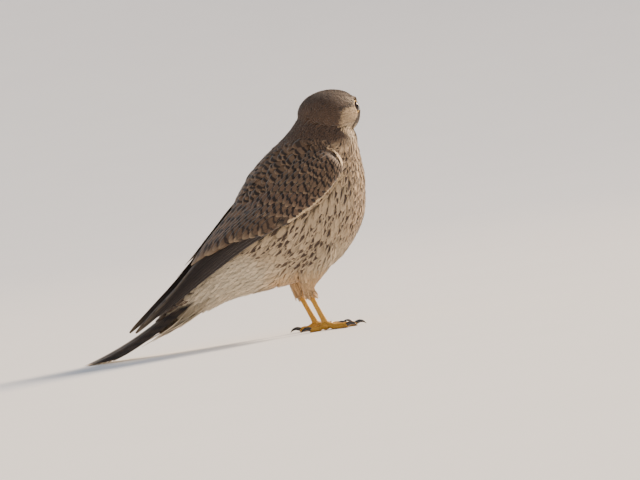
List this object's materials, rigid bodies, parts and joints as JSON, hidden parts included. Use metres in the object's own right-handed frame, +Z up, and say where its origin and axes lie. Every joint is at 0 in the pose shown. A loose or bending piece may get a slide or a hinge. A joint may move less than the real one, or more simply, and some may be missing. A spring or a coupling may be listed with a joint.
{
  "type": "common kestrel",
  "caption": "Life-size common kestrel, a female with closed wings, standing upright and looking back over her left side, with the tips of her tail on the floor.",
  "frame": {"origin": "on the floor under the middle of the bird's box", "axes": "+X the way the body faces, +Y the bird's left, +Z up"},
  "size_m": [0.2802, 0.0854, 0.2083],
  "materials": {
    "plumage": "matte feathers",
    "horn": "smooth horn",
    "eye": "clear and wet",
    "scale": "fine scales",
    "claw": "polished horn"
  },
  "bodies": {
    "root": {"head": "plumage", "bill_upper": "horn", "bill_lower": "horn", "neck": "plumage", "torso": "plumage", "tail": "plumage", "wing_right": "plumage", "wing_left": "plumage", "eye_left": "eye", "leg_left": "plumage", "foot_left": "scale", "shank_left": "scale", "eye_right": "eye", "leg_right": "plumage", "foot_right": "scale", "shank_right": "scale", "claw_left_1": "claw", "claw_left_2": "claw", "claw_left_3": "claw", "claw_left_4": "claw", "claw_right_1": "claw", "claw_right_2": "claw", "claw_right_3": "claw", "claw_right_4": "claw"}
  },
  "joints": []
}
